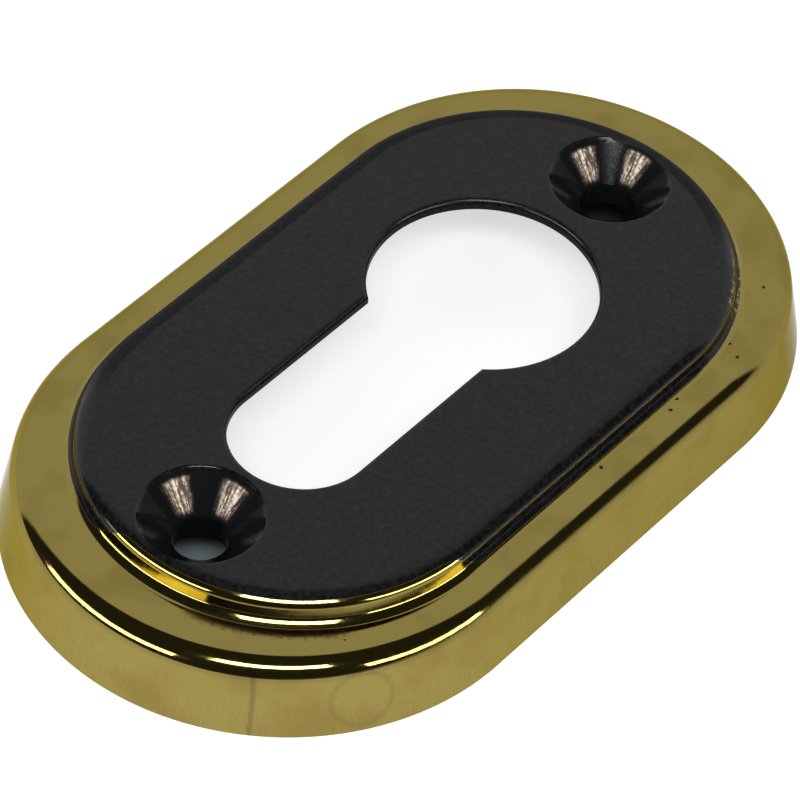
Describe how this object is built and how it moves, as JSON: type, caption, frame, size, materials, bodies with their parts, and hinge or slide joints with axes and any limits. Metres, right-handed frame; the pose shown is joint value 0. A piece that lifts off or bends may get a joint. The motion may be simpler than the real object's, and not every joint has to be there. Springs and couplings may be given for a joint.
{
  "type": "keyhole escutcheon",
  "caption": "Round-ended brass keyhole plate with a raised black field, a profile-cylinder keyhole, countersunk screw holes and a hollow back.",
  "frame": {"origin": "middle of the back plane, on the plate's centre lines", "axes": "+Z out of the front face, +Y along the plate towards the round end of the keyhole, +X across it"},
  "size_m": [0.041, 0.07, 0.008],
  "materials": {
    "brass": "polished, with a black satin coating on the raised field and its countersinks"
  },
  "bodies": {
    "root": {"escutcheon": "brass"}
  },
  "joints": []
}
